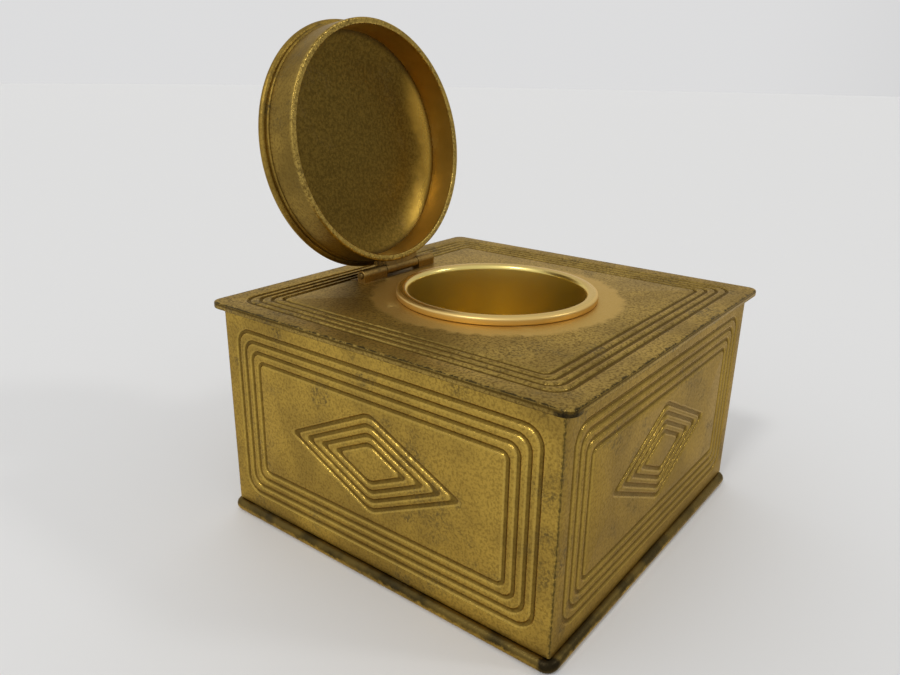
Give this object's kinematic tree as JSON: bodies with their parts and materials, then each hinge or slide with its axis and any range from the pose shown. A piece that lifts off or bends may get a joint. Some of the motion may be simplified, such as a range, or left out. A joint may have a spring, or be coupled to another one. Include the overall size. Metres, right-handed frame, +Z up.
{
  "type": "inkwell",
  "caption": "Square box inkwell with grooved borders and lozenges, a hinged round lid standing open and a lift-out metal liner cup.",
  "frame": {"origin": "middle of the underside of the base, where it rests on the desk", "axes": "+Z up, -Y towards the writer, +X to the writer's right; the lid's hinge runs along X near the back edge of the top plate"},
  "size_m": [0.09, 0.0952, 0.1115],
  "materials": {
    "aged_gilt": "gilt bronze, satin, speckled brown patina, darker in the grooves",
    "bright_gilt": "clean gilt, brushed satin",
    "dark_brass": "darkened brass, worn"
  },
  "bodies": {
    "case": {"base_plate": "aged_gilt", "front_wall": "aged_gilt", "right_wall": "aged_gilt", "back_wall": "aged_gilt", "left_wall": "aged_gilt", "front_left_block": "dark_brass", "front_right_block": "dark_brass", "back_right_block": "dark_brass", "back_left_block": "dark_brass", "front_left_screw": "dark_brass", "front_right_screw": "dark_brass", "back_right_screw": "dark_brass", "back_left_screw": "dark_brass", "top_plate": "aged_gilt", "hinge_leaf": "aged_gilt", "hinge_pin": "dark_brass"},
    "lid": {"lid_skirt": "aged_gilt", "lid_top": "aged_gilt", "lid_knuckle": "aged_gilt"},
    "liner": {"liner_cup": "bright_gilt"}
  },
  "joints": [
    {"name": "lid_hinge", "type": "hinge", "parent": "case", "child": "lid", "pos_m": [0, 0.0301, 0.0537], "axis": [-1, 0, 0], "range_deg": [-99.7, 0]},
    {"name": "liner_lift", "type": "slide", "parent": "case", "child": "liner", "axis": [0, 0, 1], "range_m": [0, 0.06]}
  ]
}
